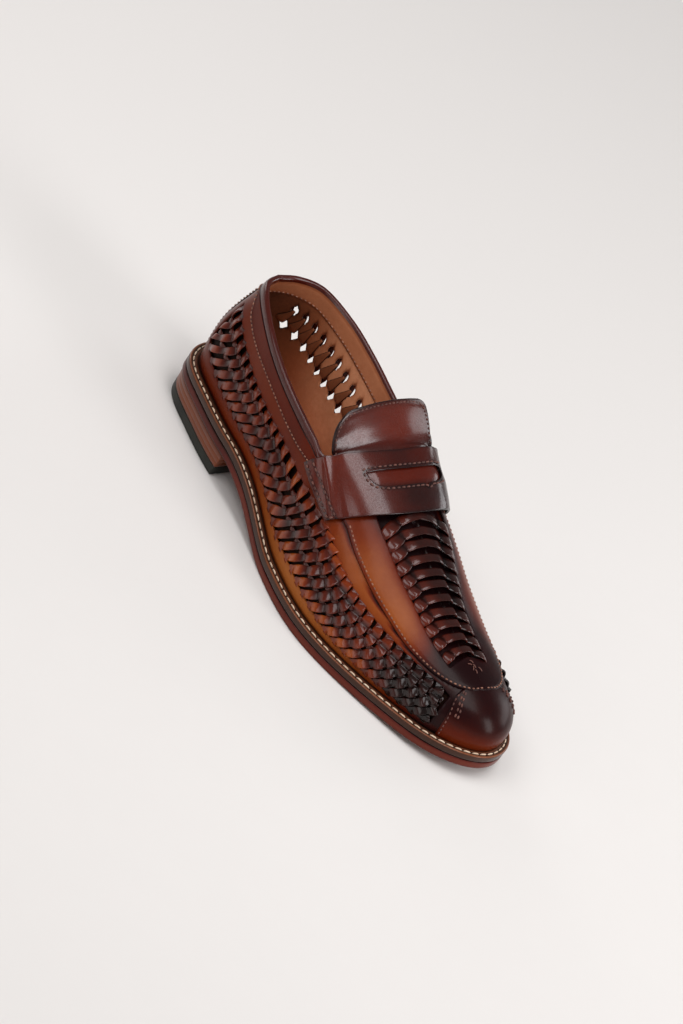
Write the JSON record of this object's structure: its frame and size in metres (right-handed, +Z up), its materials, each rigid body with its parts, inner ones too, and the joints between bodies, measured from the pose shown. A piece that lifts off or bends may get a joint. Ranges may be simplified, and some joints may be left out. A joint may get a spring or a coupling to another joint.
{
  "type": "loafer",
  "caption": "Right woven leather penny loafer: hollow upper with raised apron, slotted strap and tongue on a stitched welt, leather sole and low stacked heel.",
  "frame": {"origin": "on the floor, under the middle of the heel's resting face", "axes": "+X from heel to toe, +Y to the wearer's left (inner side), +Z up"},
  "size_m": [0.297, 0.1053, 0.1055],
  "materials": {
    "burnished_leather": "tan calf burnished to dark brown, polished",
    "oxblood_leather": "dark red-brown calf, glossy",
    "sole_leather": "dyed edge, semi-gloss",
    "welt_leather": "dark waxed edge with pale stitches",
    "stacked_leather": "layered, polished",
    "heel_rubber": "matte black",
    "lining_leather": "natural tan, matte"
  },
  "bodies": {
    "root": {"top_lift": "heel_rubber", "heel_stack": "stacked_leather", "outsole": "sole_leather", "welt": "welt_leather", "insole": "lining_leather", "upper": "burnished_leather", "apron": "burnished_leather", "tongue": "oxblood_leather", "strap": "oxblood_leather"}
  },
  "joints": []
}
